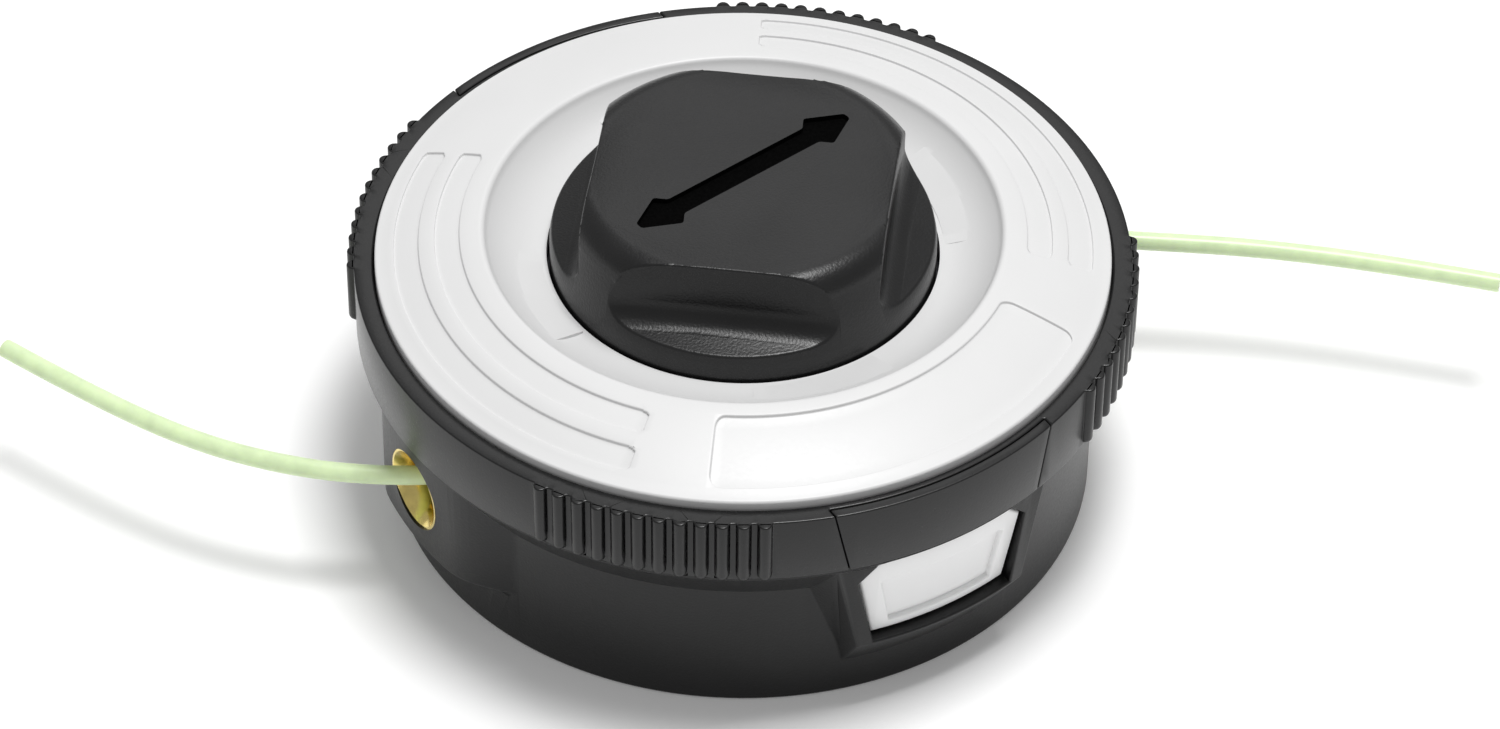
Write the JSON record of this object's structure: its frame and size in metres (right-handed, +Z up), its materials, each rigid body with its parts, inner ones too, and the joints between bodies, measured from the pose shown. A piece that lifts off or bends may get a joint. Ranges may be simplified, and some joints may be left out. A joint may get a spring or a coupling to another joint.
{
  "type": "bump feed trimmer head",
  "caption": "Round string trimmer head with a bump knob, ribbed cover ring, side latches and brass line eyelets; tapping the knob feeds cutting line from a sprung spool.",
  "frame": {"origin": "middle of the base on the surface it lies on, machine side down", "axes": "+Z up the spin axis to the bump knob, X through the two line eyelets, Y through the two latches"},
  "size_m": [0.1914, 0.1092, 0.053],
  "materials": {
    "black_nylon": "fine moulded grain, soft sheen on edges",
    "white_nylon": "smooth satin moulding",
    "spool_plastic": "plain moulding",
    "trimmer_line": "extruded translucent nylon",
    "brass": "drawn and flared, bright",
    "spring_steel": "drawn wire",
    "insert_steel": "zinc plated, turned"
  },
  "bodies": {
    "head": {"housing": "black_nylon", "threaded_insert": "insert_steel", "cover_ring": "black_nylon", "cover_disc": "white_nylon", "bump_spring": "spring_steel", "eyelet_right": "brass", "eyelet_left": "brass", "line_left": "trimmer_line", "line_right": "trimmer_line", "latch_frame_front": "black_nylon", "latch_frame_back": "black_nylon", "latch_spring_front": "spring_steel", "latch_spring_back": "spring_steel"},
    "thrust": {"thrust_washer": "insert_steel"},
    "spool_and_knob": {"knob": "black_nylon", "spool": "spool_plastic", "winding_lower": "trimmer_line", "winding_upper": "trimmer_line"},
    "front_latch": {"latch_front": "white_nylon"},
    "back_latch": {"latch_back": "white_nylon"}
  },
  "joints": [
    {"name": "knob_bump", "type": "slide", "parent": "head", "child": "thrust", "axis": [0, 0, -1], "range_m": [0, 0.005], "stiffness_N_per_m": 1500, "springref_m": -0.012, "deforming": ["bump_spring"]},
    {"name": "spool_spin", "type": "hinge", "parent": "thrust", "child": "spool_and_knob", "pos_m": [0, 0, 0.016], "axis": [0, 0, 1], "continuous": true},
    {"name": "front_latch_press", "type": "slide", "parent": "head", "child": "front_latch", "axis": [0, 1, 0], "range_m": [0, 0.0022], "stiffness_N_per_m": 900, "springref_m": -0.004, "deforming": ["latch_spring_front"]},
    {"name": "back_latch_press", "type": "slide", "parent": "head", "child": "back_latch", "axis": [0, -1, 0], "range_m": [0, 0.0022], "stiffness_N_per_m": 900, "springref_m": -0.004, "deforming": ["latch_spring_back"]}
  ]
}
